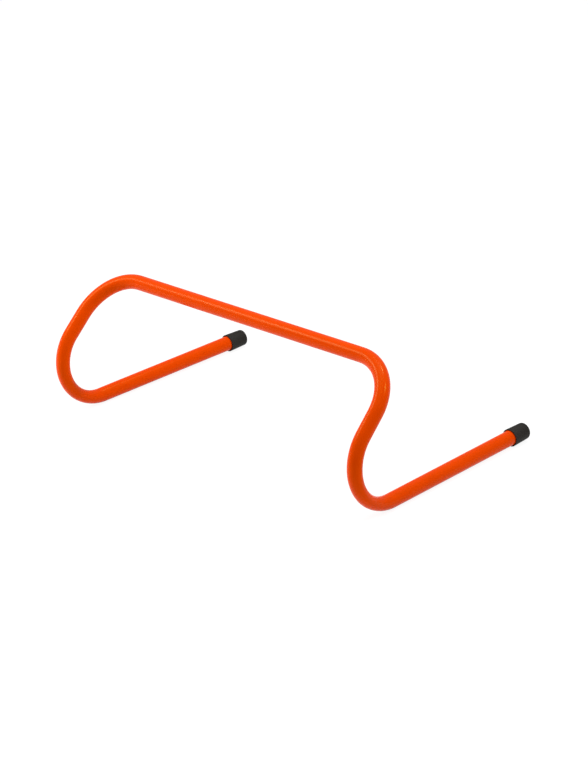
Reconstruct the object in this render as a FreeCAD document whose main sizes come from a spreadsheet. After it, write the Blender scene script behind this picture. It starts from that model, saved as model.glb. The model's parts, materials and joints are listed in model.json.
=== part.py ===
import FreeCAD, Part
import math
import os
import Sketcher

# Speed hurdle: one plastic tube bent four times into a bar, two legs and two feet, with a cap on each foot.
# Frame while drawing: X along the bar, Y back along the feet, Z up, zero height at the middle of the foot tube.

doc = FreeCAD.newDocument("speed_hurdle")

# Driving sizes, in millimetres and degrees.
sizeValues = {
    "tube_od": 16.0,
    "tube_wall": 1.5,
    "tube_end_bore": 30.0,
    "bar_height": 150.0,
    "leg_spacing": 439.0,
    "leg_straight": 25.0,
    "leg_slope": 42.2,
    "leg_splay": 1.4,
    "top_bend_radius": 54.0,
    "foot_straight": 200.0,
    "foot_bend_flattening": 1.8,
    "cap_grip": 20.0,
    "cap_floor": 3.2,
    "cap_clearance": 0.05,
    "cap_rim_wall": 1.5,
    "cap_end_wall": 0.75,
    "cap_rim_chamfer": 0.3,
    "cap_end_chamfer": 1.2,
    "cap_mouth_lead": 0.6,
}

# Sizes that follow from the driving ones. The foot bend takes up the height that leg and top bend leave.
layoutFormulas = {
    "tube_radius": "sizes.tube_od / 2",
    "tube_bore": "tube_radius - sizes.tube_wall",
    "bar_rise": "sizes.bar_height - sizes.tube_od",
    "foot_toe": "atan(tan(sizes.leg_splay) / cos(sizes.leg_slope))",
    "leg_rise_angle": "asin(cos(sizes.leg_splay) * sin(sizes.leg_slope))",
    "leg_line": "bar_rise / sin(leg_rise_angle)",
    "top_turn": "90 - sizes.leg_splay",
    "top_tangent": "sizes.top_bend_radius * tan(top_turn / 2)",
    "foot_turn": "180 - leg_rise_angle / 1 deg",
    "leg_part_rise": "(sizes.leg_straight + top_tangent) * sin(leg_rise_angle)",
    "foot_bend_radius": "(bar_rise - leg_part_rise) / (1 + cos(leg_rise_angle))",
    "foot_tangent": "foot_bend_radius * tan(foot_turn / 2)",
    "bar_straight": "sizes.leg_spacing - 2 * top_tangent",
    "corner_x": "sizes.leg_spacing / 2 + leg_line * sin(sizes.leg_splay)",
    "corner_y": "-leg_line * cos(sizes.leg_splay) * cos(sizes.leg_slope)",
    "bend_x": "corner_x - foot_tangent * sin(foot_toe)",
    "bend_y": "corner_y + foot_tangent * cos(foot_toe)",
    "end_distance": "foot_tangent + sizes.foot_straight",
    "rim_distance": "end_distance - sizes.cap_grip",
    "rim_x": "corner_x - rim_distance * sin(foot_toe)",
    "rim_y": "corner_y + rim_distance * cos(foot_toe)",
    "cap_length": "sizes.cap_grip + sizes.cap_floor",
    "cap_bore": "tube_radius + sizes.cap_clearance",
    "mouth_radius": "cap_bore + sizes.cap_mouth_lead",
    "rim_radius": "cap_bore + sizes.cap_rim_wall",
    "end_radius": "cap_bore + sizes.cap_end_wall",
    "bend_reach": "foot_bend_radius + tube_radius",
    "rim_back": "rim_y - bend_y",
    "rim_drop": "foot_bend_radius + rim_radius",
    "rest_tilt": "acos(bend_reach / sqrt(rim_back ^ 2 + rim_drop ^ 2)) - atan2(rim_back; rim_drop)",
    "rest_lift": "bend_reach - bend_y * sin(rest_tilt) - foot_bend_radius * cos(rest_tilt)",
    "front_y": "(bend_y - bend_reach) * cos(rest_tilt) - foot_bend_radius * sin(rest_tilt)",
    "back_y": "(rim_y + cap_length * cos(foot_toe)) * cos(rest_tilt)",
    "rest_shift": "-(front_y + back_y) / 2",
}


def addSheet(name, cells, prefix):
    sheet = doc.addObject("Spreadsheet::Sheet", name)
    for row, (alias, content) in enumerate(cells.items(), start=1):
        sheet.set(f"A{row}", alias)
        sheet.set(f"B{row}", f"{prefix}{content}")
        sheet.setAlias(f"B{row}", alias)
        doc.recompute()
    return sheet


sheets = {
    "sizes": addSheet("sizes", sizeValues, ""),
    "layout": addSheet("layout", layoutFormulas, "="),
}


# The number that a cell holds now, for drawing a shape near its final size before it is bound to the cell.
def valueOf(cell):
    sheet, alias = cell.split(".")
    return getattr(sheets[sheet], alias)


def originPlane(body, role):
    return next(item for item in body.Origin.OriginFeatures if item.Role == role)


def addSketch(body, name, role, offset=None):
    sketch = body.newObject("Sketcher::SketchObject", name)
    sketch.AttachmentSupport = (originPlane(body, role), [""])
    sketch.MapMode = "FlatFace"
    if offset:
        sketch.setExpression("AttachmentOffset", offset)
    return sketch


def bindConstraint(sketch, name, constraint, formula):
    index = sketch.addConstraint(constraint)
    sketch.renameConstraint(index, name)
    sketch.setExpression(f"Constraints.{name}", formula)


def addRoundSection(body, name, role, offset, radius="layout.tube_radius"):
    sketch = addSketch(body, name, role, offset)
    sketch.addGeometry(Part.Circle(FreeCAD.Vector(), FreeCAD.Vector(0, 0, 1), valueOf(radius)), False)
    sketch.addConstraint(Sketcher.Constraint("Coincident", 0, 3, -1, 1))
    bindConstraint(sketch, "radius", Sketcher.Constraint("Radius", 0, valueOf(radius)), radius)
    return sketch


# A section pressed flat by the bending: narrower towards the bend centre, wider across it by half as much.
def addFlatSection(body, name, role, offset, share):
    sketch = addSketch(body, name, role, offset)
    pressed = share * valueOf("sizes.foot_bend_flattening")
    wide = valueOf("sizes.tube_od") + pressed / 2
    tall = valueOf("sizes.tube_od") - pressed
    ends = FreeCAD.Vector(wide / 2, 0, 0), FreeCAD.Vector(0, tall / 2, 0)
    sketch.addGeometry(Part.Ellipse(*ends, FreeCAD.Vector()), False)
    sketch.exposeInternalGeometry(0)
    sketch.addConstraint(Sketcher.Constraint("Coincident", 0, 3, -1, 1))
    sketch.addConstraint(Sketcher.Constraint("Horizontal", 1))
    across = f"sizes.tube_od + {share / 2} * sizes.foot_bend_flattening"
    inward = f"sizes.tube_od - {share} * sizes.foot_bend_flattening"
    bindConstraint(sketch, "across", Sketcher.Constraint("Distance", 1, wide), across)
    bindConstraint(sketch, "inward", Sketcher.Constraint("Distance", 2, tall), inward)
    return sketch


# The centre line of a bend: an arc about the sketch origin that ends on the sketch's vertical axis.
def addArcPath(body, name, role, offset, radius, turn, endAngle):
    sketch = addSketch(body, name, role, offset)
    circle = Part.Circle(FreeCAD.Vector(), FreeCAD.Vector(0, 0, 1), valueOf(radius))
    startAngle = endAngle - valueOf(turn)
    sketch.addGeometry(Part.ArcOfCircle(circle, math.radians(startAngle), math.radians(endAngle)), False)
    sketch.addConstraint(Sketcher.Constraint("Coincident", 0, 3, -1, 1))
    sketch.addConstraint(Sketcher.Constraint("PointOnObject", 0, 2, -2))
    bindConstraint(sketch, "radius", Sketcher.Constraint("Radius", 0, valueOf(radius)), radius)
    bindConstraint(sketch, "turn", Sketcher.Constraint("Angle", 0, math.radians(valueOf(turn))), turn)
    return sketch


def addPad(body, name, sketch, length):
    pad = body.newObject("PartDesign::Pad", name)
    pad.Profile = sketch
    pad.setExpression("Length", length)
    doc.recompute()
    return pad


def addPipe(body, name, path, sections):
    pipe = body.newObject("PartDesign::AdditivePipe", name)
    pipe.Profile = sections[0]
    pipe.Spine = (path, ["Edge1"])
    if len(sections) > 1:
        pipe.Transformation = "Multisection"
        pipe.Sections = [(section, [""]) for section in sections[1:]]
    doc.recompute()
    return pipe


# The tube: the bar is drawn whole, then one side's bends, leg and foot, which are mirrored to the other side.
tube = doc.addObject("PartDesign::Body", "hurdle_tube")

barPlace = "placement(vector(0; layout.bar_rise; 0); rotationx(0))"
bar = addPad(tube, "bar", addRoundSection(tube, "bar_section", "YZ_Plane", barPlace), "layout.bar_straight")
bar.Midplane = True

# The bar, the top bends and the legs lie in one leaning plane.
leaningPlane = "placement(vector(0; 0; layout.bar_rise); rotationx(sizes.leg_slope))"
topCentre = "layout.bar_straight / 2"


def placeTopSection(turned):
    across = f"{topCentre} + sizes.top_bend_radius * sin({turned})"
    along = f"sizes.top_bend_radius * (cos({turned}) - 1)"
    return f"{leaningPlane} * placement(vector({across}; {along}; 0); rotationz(-{turned}) * rotationy(90))"


topPath = addArcPath(
    tube, "top_bend_path", "XY_Plane",
    f"{leaningPlane} * placement(vector({topCentre}; -sizes.top_bend_radius; 0); rotationx(0))",
    "sizes.top_bend_radius", "layout.top_turn", 90,
)
topSection = addRoundSection(tube, "top_bend_section", "XY_Plane", placeTopSection("0"))
legSection = addRoundSection(tube, "leg_section", "XY_Plane", placeTopSection("layout.top_turn"))
doc.recompute()
topBend = addPipe(tube, "top_bend", topPath, [topSection])
leg = addPad(tube, "leg", legSection, "sizes.leg_straight")

# The leg, the foot bend and the foot lie in one upright plane, turned by the toe of the foot.
footPlane = "placement(vector(layout.corner_x; layout.corner_y; 0); rotationz(layout.foot_toe))"
footPath = addArcPath(
    tube, "foot_bend_path", "YZ_Plane",
    "placement(vector(layout.bend_y; layout.foot_bend_radius; layout.bend_x); rotationy(layout.foot_toe))",
    "layout.foot_bend_radius", "layout.foot_turn", 270,
)

# Sections round the foot bend, by their place from leg to foot. The pressing is even along the middle of the
# bend and runs out quickly at its two ends, where the tube is round again.
footSections = []
for place in (0, 0.15, 0.5, 0.85, 1):
    angle = f"(270 - {round(1 - place, 2)} * layout.foot_turn)"
    back = f"layout.foot_tangent + layout.foot_bend_radius * cos({angle})"
    height = f"layout.foot_bend_radius * (1 + sin({angle}))"
    sectionPlace = f"{footPlane} * placement(vector(0; {back}; {height}); rotationx({angle}))"
    sectionName = f"foot_bend_section_{len(footSections)}"
    share = round(1 - (2 * place - 1) ** 4, 2)
    if share:
        footSections.append(addFlatSection(tube, sectionName, "XY_Plane", sectionPlace, share))
    else:
        footSections.append(addRoundSection(tube, sectionName, "XY_Plane", sectionPlace))
doc.recompute()
footBend = addPipe(tube, "foot_bend", footPath, footSections)
foot = addPad(tube, "foot", footSections[-1], "sizes.foot_straight")

# The bore is drawn as far in as a pulled-off cap lets it be seen. Beyond that nothing shows it.
endPlace = f"{footPlane} * placement(vector(0; layout.end_distance; 0); rotationx(270))"
boreSection = addRoundSection(tube, "end_bore_section", "XY_Plane", endPlace, "layout.tube_bore")
doc.recompute()
endBore = tube.newObject("PartDesign::Pocket", "end_bore")
endBore.Profile = boreSection
endBore.setExpression("Length", "sizes.tube_end_bore")
doc.recompute()

otherSide = tube.newObject("PartDesign::Mirrored", "other_side")
otherSide.Originals = [topBend, leg, footBend, foot, endBore]
otherSide.MirrorPlane = (originPlane(tube, "YZ_Plane"), [""])
tube.Tip = otherSide

# The hurdle stands on its foot bends and on the cap rims, so the whole of it leans forward by the rest tilt.
tube.setExpression(
    "Placement",
    "placement(vector(0; layout.rest_shift; layout.rest_lift); rotationx(layout.rest_tilt))",
)
doc.recompute()


# Chamfers the circular edge of a turned piece that has this radius at this distance along Y.
def chamferRim(body, name, base, along, radius, size):
    rims = []
    for index, edge in enumerate(base.Shape.Edges, start=1):
        if isinstance(edge.Curve, Part.Circle):
            sameRadius = math.isclose(edge.Curve.Radius, radius, abs_tol=1e-4)
            if sameRadius and math.isclose(edge.Curve.Center.y, along, abs_tol=1e-4):
                rims.append(f"Edge{index}")
    chamfer = body.newObject("PartDesign::Chamfer", name)
    chamfer.Base = (base, rims)
    chamfer.setExpression("Size", size)
    doc.recompute()
    return chamfer


# A cap: a tapered cup turned about Y, open at Y 0, whose floor seats on the end of the tube.
def addCap(name, side):
    cap = doc.addObject("PartDesign::Body", name)
    profile = addSketch(cap, f"{name}_profile", "YZ_Plane")
    corners = [
        (None, "layout.mouth_radius"),
        (None, "layout.rim_radius"),
        ("layout.cap_length", "layout.end_radius"),
        ("layout.cap_length", None),
        ("sizes.cap_grip", None),
        ("sizes.cap_grip", "layout.cap_bore"),
        ("sizes.cap_mouth_lead", "layout.cap_bore"),
    ]
    points = []
    for along, radius in corners:
        points.append(FreeCAD.Vector(valueOf(along) if along else 0, valueOf(radius) if radius else 0, 0))
    count = len(points)
    for index in range(count):
        profile.addGeometry(Part.LineSegment(points[index], points[(index + 1) % count]), False)
    for index in range(count):
        profile.addConstraint(Sketcher.Constraint("Coincident", index, 2, (index + 1) % count, 1))
    for index, (along, radius) in enumerate(corners):
        for kind, cell, axis in (("DistanceX", along, -2), ("DistanceY", radius, -1)):
            if cell:
                dimension = Sketcher.Constraint(kind, -1, 1, index, 1, valueOf(cell))
                bindConstraint(profile, f"{kind}_{index}", dimension, cell)
            else:
                profile.addConstraint(Sketcher.Constraint("PointOnObject", index, 1, axis))
    doc.recompute()
    cup = cap.newObject("PartDesign::Revolution", f"{name}_cup")
    cup.Profile = profile
    cup.ReferenceAxis = (profile, ["H_Axis"])
    cup.Angle = 360
    doc.recompute()
    rimRadius = valueOf("layout.rim_radius")
    endRadius = valueOf("layout.end_radius")
    length = valueOf("layout.cap_length")
    rim = chamferRim(cap, f"{name}_rim", cup, 0, rimRadius, "sizes.cap_rim_chamfer")
    chamferRim(cap, f"{name}_end", rim, length, endRadius, "sizes.cap_end_chamfer")
    cap.setExpression(
        "Placement",
        f"hurdle_tube.Placement * placement(vector({side} * layout.rim_x; layout.rim_y; 0); "
        f"rotationz({side} * layout.foot_toe))",
    )
    doc.recompute()
    return cap


leftCap = addCap("left_end_cap", -1)
rightCap = addCap("right_end_cap", 1)

for item in doc.Objects:
    if "Invalid" in item.State or "Error" in item.State:
        raise RuntimeError(f"{item.Name} did not build: {item.State}")

os.makedirs("parts", exist_ok=True)
for body in (tube, leftCap, rightCap):
    if body.Shape.isNull() or not body.Shape.isValid():
        raise RuntimeError(f"{body.Label} has no sound shape")
    body.Shape.exportStep(f"parts/{body.Label}.step")
    print(body.Label, round(body.Shape.Volume, 1), "mm3")
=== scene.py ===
import json
import math

import bmesh
import bpy
from mathutils import Matrix, Vector


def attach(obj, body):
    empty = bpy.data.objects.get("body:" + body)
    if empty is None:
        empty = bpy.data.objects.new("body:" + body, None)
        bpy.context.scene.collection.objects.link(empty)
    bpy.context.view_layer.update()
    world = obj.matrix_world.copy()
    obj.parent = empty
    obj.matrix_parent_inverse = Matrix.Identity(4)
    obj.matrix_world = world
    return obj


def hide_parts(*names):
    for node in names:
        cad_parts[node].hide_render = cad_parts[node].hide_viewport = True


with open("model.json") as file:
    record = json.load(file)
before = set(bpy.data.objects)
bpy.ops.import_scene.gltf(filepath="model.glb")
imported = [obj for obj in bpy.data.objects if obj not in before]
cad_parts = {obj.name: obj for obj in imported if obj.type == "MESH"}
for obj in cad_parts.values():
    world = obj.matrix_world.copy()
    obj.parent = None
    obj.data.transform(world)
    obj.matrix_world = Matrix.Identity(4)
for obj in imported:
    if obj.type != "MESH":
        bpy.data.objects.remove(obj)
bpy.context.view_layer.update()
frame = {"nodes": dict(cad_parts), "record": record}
print("frame loaded:", ", ".join(sorted(frame["nodes"])))


# small helpers for node trees
def newMaterial(name):
    material = bpy.data.materials.new(name)
    material.use_nodes = True
    material.node_tree.nodes.clear()
    return material, material.node_tree


def addNode(tree, kind, settings=None, inputs=None):
    node = tree.nodes.new(kind)
    for name, value in (settings or {}).items():
        setattr(node, name, value)
    for name, value in (inputs or {}).items():
        node.inputs[name].default_value = value
    return node


def link(tree, source, target):
    tree.links.new(source, target)


mixSockets = {"factor": 0, "low": 6, "high": 7, "result": 2}    # those of a Mix node for colours


def mixColors(tree, mask, low, high):
    mix = addNode(tree, "ShaderNodeMix", {"data_type": "RGBA"})
    link(tree, mask, mix.inputs[mixSockets["factor"]])
    for name, value in (("low", low), ("high", high)):
        socket = mix.inputs[mixSockets[name]]
        if isinstance(value, tuple):
            socket.default_value = value
        else:
            link(tree, value, socket)
    return mix.outputs[mixSockets["result"]]


def remap(tree, value, lowIn, highIn, lowOut, highOut):
    limits = {"From Min": lowIn, "From Max": highIn, "To Min": lowOut, "To Max": highOut}
    node = addNode(tree, "ShaderNodeMapRange", inputs=limits)
    link(tree, value, node.inputs["Value"])
    return node.outputs["Result"]


def combine(tree, operation, first, second):
    node = addNode(tree, "ShaderNodeMath", {"operation": operation})
    for socket, value in zip(node.inputs, (first, second)):
        if isinstance(value, (int, float)):
            socket.default_value = value
        else:
            link(tree, value, socket)
    return node.outputs["Value"]


# handled surface, shared by tube and caps: broad unevenness, fine grain, hairline rubs
surfaceTexture = {
    "mottle": {"Detail": 3.0, "Roughness": 0.55, "Distortion": 0.4},
    "grain": {"Detail": 2.0, "Roughness": 0.6},
    "rub": {"Detail": 4.0, "Distortion": 1.2},
    "rubCrests": (0.72, 0.95),      # only the crests of the ridges are rubs
    "rubPatches": (0.45, 0.62),     # and only where the mottle is high
    "mottleSpan": (0.3, 0.7),       # usual lowest and highest value of the noise
    "grainSpan": (0.35, 0.65),
    "leastWear": 0.2,               # wear left in the low spots of the grain
}


def makeSurfaceGroup(spec):
    group = bpy.data.node_groups.new("handledSurface", "ShaderNodeTree")
    for name in ("Vector", "Mottle Scale", "Grain Scale", "Rub Scale", "Rub Amount"):
        kind = "NodeSocketVector" if name == "Vector" else "NodeSocketFloat"
        group.interface.new_socket(name, in_out="INPUT", socket_type=kind)
    for name in ("Mottle", "Grain", "Rub"):
        group.interface.new_socket(name, in_out="OUTPUT", socket_type="NodeSocketFloat")
    start = addNode(group, "NodeGroupInput")
    end = addNode(group, "NodeGroupOutput")
    mottle = addNode(group, "ShaderNodeTexNoise", inputs=spec["mottle"])
    grain = addNode(group, "ShaderNodeTexNoise", inputs=spec["grain"])
    rub = addNode(group, "ShaderNodeTexNoise", {"noise_type": "RIDGED_MULTIFRACTAL"}, spec["rub"])
    for node, scale in ((mottle, "Mottle Scale"), (grain, "Grain Scale"), (rub, "Rub Scale")):
        link(group, start.outputs["Vector"], node.inputs["Vector"])
        link(group, start.outputs[scale], node.inputs["Scale"])
    sparse = remap(group, rub.outputs["Fac"], *spec["rubCrests"], 0.0, 1.0)
    broken = remap(group, mottle.outputs["Fac"], *spec["rubPatches"], 0.0, 1.0)
    patches = combine(group, "MULTIPLY", sparse, broken)
    link(group, mottle.outputs["Fac"], end.inputs["Mottle"])
    link(group, grain.outputs["Fac"], end.inputs["Grain"])
    link(group, combine(group, "MULTIPLY", patches, start.outputs["Rub Amount"]), end.inputs["Rub"])
    return group


surfaceGroup = makeSurfaceGroup(surfaceTexture)
print("surface group made")


# finish of one kind of piece on the shared surface
def makeFinish(name, spec):
    material, tree = newMaterial(name)
    out = addNode(tree, "ShaderNodeOutputMaterial")
    gloss = {
        "IOR": spec["ior"], "Specular IOR Level": spec["specular"],
        "Specular Tint": spec["glossTint"],
    }
    shader = addNode(tree, "ShaderNodeBsdfPrincipled", inputs=gloss)
    coords = addNode(tree, "ShaderNodeTexCoord")
    scales = {
        "Mottle Scale": spec["mottleScale"], "Grain Scale": spec["grainScale"],
        "Rub Scale": spec["rubScale"], "Rub Amount": spec["rubAmount"],
    }
    surface = addNode(tree, "ShaderNodeGroup", {"node_tree": surfaceGroup}, scales)
    link(tree, coords.outputs["Object"], surface.inputs["Vector"])
    grainSpan, mottleSpan = surfaceTexture["grainSpan"], surfaceTexture["mottleSpan"]
    patchy = remap(tree, surface.outputs["Grain"], *grainSpan, surfaceTexture["leastWear"], 1.0)
    # worn where it slides on the floor
    height = addNode(tree, "ShaderNodeSeparateXYZ")
    link(tree, coords.outputs["Object"], height.inputs["Vector"])
    wear = remap(tree, height.outputs["Z"], 0.0, spec["floorWearHeight"], 1.0, 0.0)
    if spec["edgeWear"]:
        # and along rounded edges, which the mesh marks itself
        edge = addNode(tree, "ShaderNodeAttribute", {"attribute_name": "edgeWear"})
        edgeRub = combine(tree, "MULTIPLY", edge.outputs["Fac"], spec["edgeWear"])
        wear = combine(tree, "MAXIMUM", wear, edgeRub)
    worn = combine(tree, "MULTIPLY", wear, patchy)
    rubbed = combine(tree, "MAXIMUM", surface.outputs["Rub"], worn)
    uneven = remap(tree, surface.outputs["Mottle"], *mottleSpan, 0.0, 1.0)
    color = mixColors(tree, uneven, spec["deepColor"], spec["lightColor"])
    faded = combine(tree, "MULTIPLY", rubbed, spec["rubFade"])
    link(tree, mixColors(tree, faded, color, spec["rubColor"]), shader.inputs["Base Color"])
    rough = remap(tree, surface.outputs["Mottle"], *mottleSpan, spec["roughLow"], spec["roughHigh"])
    roughened = combine(tree, "MULTIPLY", rubbed, spec["rubRough"])
    link(tree, combine(tree, "ADD", rough, roughened), shader.inputs["Roughness"])
    relief = {"Strength": spec["grainStrength"], "Distance": spec["grainDepth"]}
    bump = addNode(tree, "ShaderNodeBump", inputs=relief)
    link(tree, surface.outputs["Grain"], bump.inputs["Height"])
    link(tree, bump.outputs["Normal"], shader.inputs["Normal"])
    link(tree, shader.outputs["BSDF"], out.inputs["Surface"])
    return material


# orange tube, satin plastic with the colour moulded in, lengths in metres
tubeFinish = {
    "deepColor": (0.755, 0.0556, 0.0, 1),
    "lightColor": (0.815, 0.0608, 0.0, 1),
    "rubColor": (0.84, 0.12, 0.035, 1),
    "rubFade": 0.3,
    "ior": 1.5,
    "specular": 0.085,                  # weak, yellowish gloss
    "glossTint": (1.0, 1.0, 0.0, 1),
    "roughLow": 0.2,
    "roughHigh": 0.26,
    "rubRough": 0.2,
    "mottleScale": 22.0,
    "grainScale": 900.0,
    "grainStrength": 0.03,
    "grainDepth": 0.0004,
    "rubScale": 60.0,
    "rubAmount": 0.6,
    "floorWearHeight": 0.002,
    "edgeWear": 0.0,                    # its mesh marks no edges
}
tubeMesh = frame["nodes"]["hurdle_tube"].data
tubeMesh.materials.clear()
tubeMesh.materials.append(makeFinish("orangeTubePlastic", tubeFinish))
print("tube finished")

# black end caps, soft matte rubber, lengths in metres
capFinish = {
    "deepColor": (0.0125, 0.011, 0.0087, 1),
    "lightColor": (0.0195, 0.017, 0.014, 1),
    "rubColor": (0.07, 0.066, 0.06, 1),
    "rubFade": 0.5,
    "ior": 1.5,
    "specular": 0.14,
    "glossTint": (1.0, 1.0, 1.0, 1),
    "roughLow": 0.5,
    "roughHigh": 0.64,
    "rubRough": 0.15,
    "mottleScale": 90.0,
    "grainScale": 2600.0,
    "grainStrength": 0.25,
    "grainDepth": 0.0003,
    "rubScale": 140.0,
    "rubAmount": 0.5,
    "floorWearHeight": 0.0015,
    "edgeWear": 0.5,
}
capShape = {
    "length": 0.0232,
    "grip": 0.020,           # depth of the cup
    "boreRadius": 0.00805,
    "mouthRadius": 0.00865,
    "mouthDepth": 0.0006,
    "rimRadius": 0.00955,
    "endRadius": 0.0088,
    "rimRound": 0.0004,
    "endRound": 0.0019,
    "endMargin": 0.0006,     # from the rounded end to the rings that keep the flats flat
    "roundSteps": 6,
    "steps": 72,
}
capPlaces = {
    "leftCapRubber": {"node": "left_end_cap", "body": "left_cap", "mount": "left_cap_end"},
    "rightCapRubber": {"node": "right_end_cap", "body": "right_cap", "mount": "right_cap_end"},
}


mergeGap = 1e-6    # metres, points nearer than this are one


# ring of edges at one radius and height on a turned shape
def ringEdges(shape, radius, height):
    def onRing(vert):
        return abs(vert.co.xy.length - radius) < mergeGap and abs(vert.co.z - height) < mergeGap
    return [edge for edge in shape.edges if all(onRing(vert) for vert in edge.verts)]


# cup turned about Z, its mouth at height 0, with rounded rim and end
def turnCap(spec):
    shape = bmesh.new()
    wear = shape.verts.layers.float.new("edgeWear")
    flat = spec["endRadius"] - spec["endRound"] - spec["endMargin"]
    below = spec["length"] - spec["endRound"] - spec["endMargin"]
    taper = spec["rimRadius"] - spec["endRadius"]
    side = spec["endRadius"] + taper * (1 - below / spec["length"])
    profile = (
        (0.0, spec["length"]),
        (flat, spec["length"]),
        (spec["endRadius"], spec["length"]),
        (side, below),
        (spec["rimRadius"], 0.0),
        (spec["mouthRadius"], 0.0),
        (spec["boreRadius"], spec["mouthDepth"]),
        (spec["boreRadius"], spec["grip"]),
        (0.0, spec["grip"]),
    )
    points = [shape.verts.new((radius, 0.0, height)) for radius, height in profile]
    lines = [shape.edges.new(pair) for pair in zip(points, points[1:])]
    bmesh.ops.spin(
        shape, geom=points + lines, cent=(0, 0, 0), axis=(0, 0, 1),
        angle=2 * math.pi, steps=spec["steps"], use_merge=True,
    )
    bmesh.ops.remove_doubles(shape, verts=shape.verts[:], dist=mergeGap)
    bmesh.ops.recalc_face_normals(shape, faces=shape.faces[:])
    for radius, height, size in (
        (spec["endRadius"], spec["length"], spec["endRound"]),
        (spec["rimRadius"], 0.0, spec["rimRound"]),
    ):
        rounded = bmesh.ops.bevel(
            shape, geom=ringEdges(shape, radius, height), offset=size, offset_type="OFFSET",
            affect="EDGES", segments=spec["roundSteps"], profile=0.5, material=-1,
        )
        for vert in rounded["verts"]:
            vert[wear] = 1.0
    for face in shape.faces:
        face.smooth = True
    for radius, height in ((spec["mouthRadius"], 0.0), (spec["boreRadius"], spec["grip"])):
        for edge in ringEdges(shape, radius, height):
            edge.smooth = False
    return shape


def addCap(name, place, spec, material):
    mount = next(m for m in frame["record"]["mounts"] if m["name"] == place["mount"])
    axis = Vector(mount["axis"])
    mouth = Vector(mount["pos_m"]) - axis * spec["length"]
    shape = turnCap(spec)
    turn = axis.to_track_quat("Z", "Y").to_matrix().to_4x4()
    bmesh.ops.transform(shape, matrix=Matrix.Translation(mouth) @ turn, verts=shape.verts[:])
    mesh = bpy.data.meshes.new(name)
    shape.to_mesh(mesh)
    shape.free()
    mesh.materials.append(material)
    cap = bpy.data.objects.new(name, mesh)
    bpy.context.scene.collection.objects.link(cap)
    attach(cap, place["body"])
    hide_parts(place["node"])


capMaterial = makeFinish("blackCapRubber", capFinish)
for capName, capPlace in capPlaces.items():
    addCap(capName, capPlace, capShape, capMaterial)
print("caps made")

# pale studio floor
floorLook = {
    "size": 30.0,                         # metres
    "color": (0.8, 0.8, 0.8, 1),          # as it lights the hurdle from below
    "seenColor": (0.16, 0.16, 0.16, 1),   # share of the white that shadows can darken
    "seenGlow": 0.9,                      # rest of the white, for the camera and for reflections
}


# true for rays that see the backdrop itself
def seenRays(tree):
    path = addNode(tree, "ShaderNodeLightPath")
    direct = combine(tree, "MAXIMUM", path.outputs["Is Camera Ray"], path.outputs["Is Glossy Ray"])
    return combine(tree, "MAXIMUM", direct, path.outputs["Is Transmission Ray"])


def addFloor(spec):
    material, tree = newMaterial("paleFloor")
    out = addNode(tree, "ShaderNodeOutputMaterial")
    plain = addNode(tree, "ShaderNodeBsdfDiffuse", inputs={"Color": spec["color"]})
    shaded = addNode(tree, "ShaderNodeBsdfDiffuse", inputs={"Color": spec["seenColor"]})
    glow = addNode(tree, "ShaderNodeEmission", inputs={"Strength": spec["seenGlow"]})
    both = addNode(tree, "ShaderNodeAddShader")
    pick = addNode(tree, "ShaderNodeMixShader")
    link(tree, shaded.outputs["BSDF"], both.inputs[0])
    link(tree, glow.outputs["Emission"], both.inputs[1])
    link(tree, seenRays(tree), pick.inputs["Fac"])
    link(tree, plain.outputs["BSDF"], pick.inputs[1])
    link(tree, both.outputs["Shader"], pick.inputs[2])
    link(tree, pick.outputs["Shader"], out.inputs["Surface"])
    mesh = bpy.data.meshes.new("floor")
    shape = bmesh.new()
    bmesh.ops.create_grid(shape, x_segments=1, y_segments=1, size=spec["size"] / 2)
    shape.to_mesh(mesh)
    shape.free()
    mesh.materials.append(material)
    floor = bpy.data.objects.new("floor", mesh)
    bpy.context.scene.collection.objects.link(floor)


addFloor(floorLook)
print("floor laid")

# soft boxes round the hurdle: azimuth and elevation as for the camera, size in metres,
# watts, and whether the box shows in the gloss
studioLights = {
    "leftFill": {"angles": (-68, 8), "size": (1.0, 0.6), "power": 21.0, "shine": False},
    "leftKey": {"angles": (-55, 40), "size": (0.6, 0.45), "power": 8.5, "shine": True},
    "topBox": {"angles": (0, 90), "size": (1.2, 1.2), "power": 10.0, "shine": True},
    "rightBox": {"angles": (122, 48), "size": (0.26, 0.2), "power": 8.0, "shine": True},
    "backBox": {"angles": (171, 65), "size": (0.3, 0.22), "power": 6.5, "shine": True},
}
lightDistance = 1.8    # metres
ambient = {"Color": (1, 1, 1, 1), "Strength": 0.395}    # even light from all round


def directionOf(azimuth, elevation):
    turn, rise = math.radians(azimuth), math.radians(elevation)
    level = math.cos(rise)
    return Vector((math.sin(turn) * level, -math.cos(turn) * level, math.sin(rise)))


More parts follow.
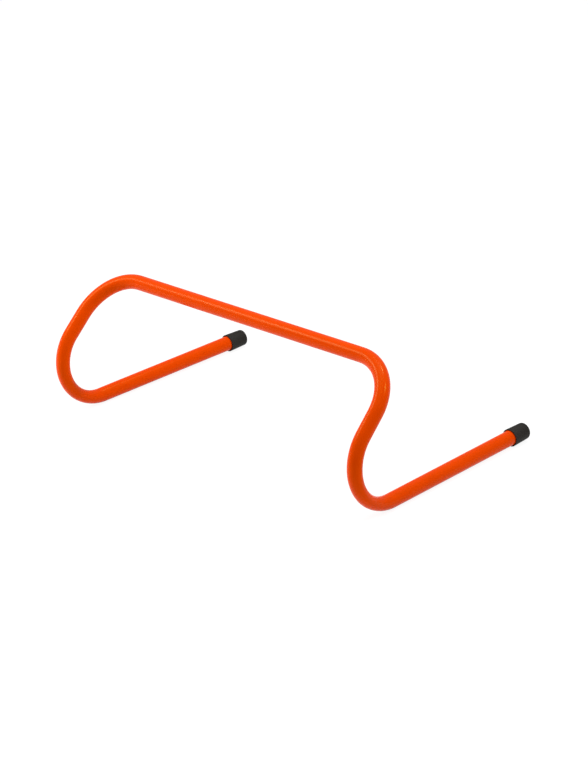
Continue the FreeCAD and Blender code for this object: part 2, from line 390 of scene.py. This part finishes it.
def addLights(boxes):
    for name, spec in boxes.items():
        data = bpy.data.lights.new(name, "AREA")
        data.shape = "RECTANGLE"
        data.size, data.size_y = spec["size"]
        data.energy = spec["power"]
        lamp = bpy.data.objects.new(name, data)
        toward = directionOf(*spec["angles"])
        lamp.location = toward * lightDistance
        lamp.rotation_euler = toward.to_track_quat("Z", "Y").to_euler()
        lamp.visible_camera = False
        lamp.visible_glossy = spec["shine"]
        bpy.context.scene.collection.objects.link(lamp)


def addWorld(spec):
    world = bpy.data.worlds.new("studio")
    world.use_nodes = True
    tree = world.node_tree
    tree.nodes.clear()
    out = addNode(tree, "ShaderNodeOutputWorld")
    glow = addNode(tree, "ShaderNodeBackground", inputs=spec)
    link(tree, glow.outputs["Background"], out.inputs["Surface"])
    bpy.context.scene.world = world


addLights(studioLights)
addWorld(ambient)
print("lights set")

# camera, standing where the photograph was taken from
cameraView = {
    "azimuth": 48.0082,      # degrees round the hurdle, 0 looks along +Y
    "elevation": 22.9626,    # degrees above the floor
    "roll": -4.4596,         # degrees
    "distance": 3.2348,      # metres to the middle of the floor under the hurdle
    "focalPixels": 3074.34,  # focal length in pixels
    "imageWidth": 588,       # pixels
    "imageHeight": 784,
    "originX": 291.4547,     # pixel where the middle of that floor shows
    "originY": 428.8686,
    "sensor": 36.0,          # millimetres, along the image height
    "clipEnd": 100.0,        # metres, past the far edge of the floor
}


def addCamera(spec):
    roll = math.radians(spec["roll"])
    back = directionOf(spec["azimuth"], spec["elevation"])
    level = directionOf(spec["azimuth"] + 90, 0)
    upright = back.cross(level)
    right = math.cos(roll) * level + math.sin(roll) * upright
    up = math.cos(roll) * upright - math.sin(roll) * level
    metresPerPixel = spec["distance"] / spec["focalPixels"]
    place = back * spec["distance"]
    place -= right * (spec["originX"] - spec["imageWidth"] / 2) * metresPerPixel
    place += up * (spec["originY"] - spec["imageHeight"] / 2) * metresPerPixel
    data = bpy.data.cameras.new("photoCamera")
    data.sensor_width = spec["sensor"]
    data.lens = spec["focalPixels"] * spec["sensor"] / spec["imageHeight"]
    data.clip_end = spec["clipEnd"]
    camera = bpy.data.objects.new("photoCamera", data)
    turned = Matrix((right, up, back)).transposed().to_4x4()
    camera.matrix_world = Matrix.Translation(place) @ turned
    bpy.context.scene.collection.objects.link(camera)
    bpy.context.scene.camera = camera


addCamera(cameraView)
print("camera set")

bpy.context.scene.view_settings.view_transform = "Standard"
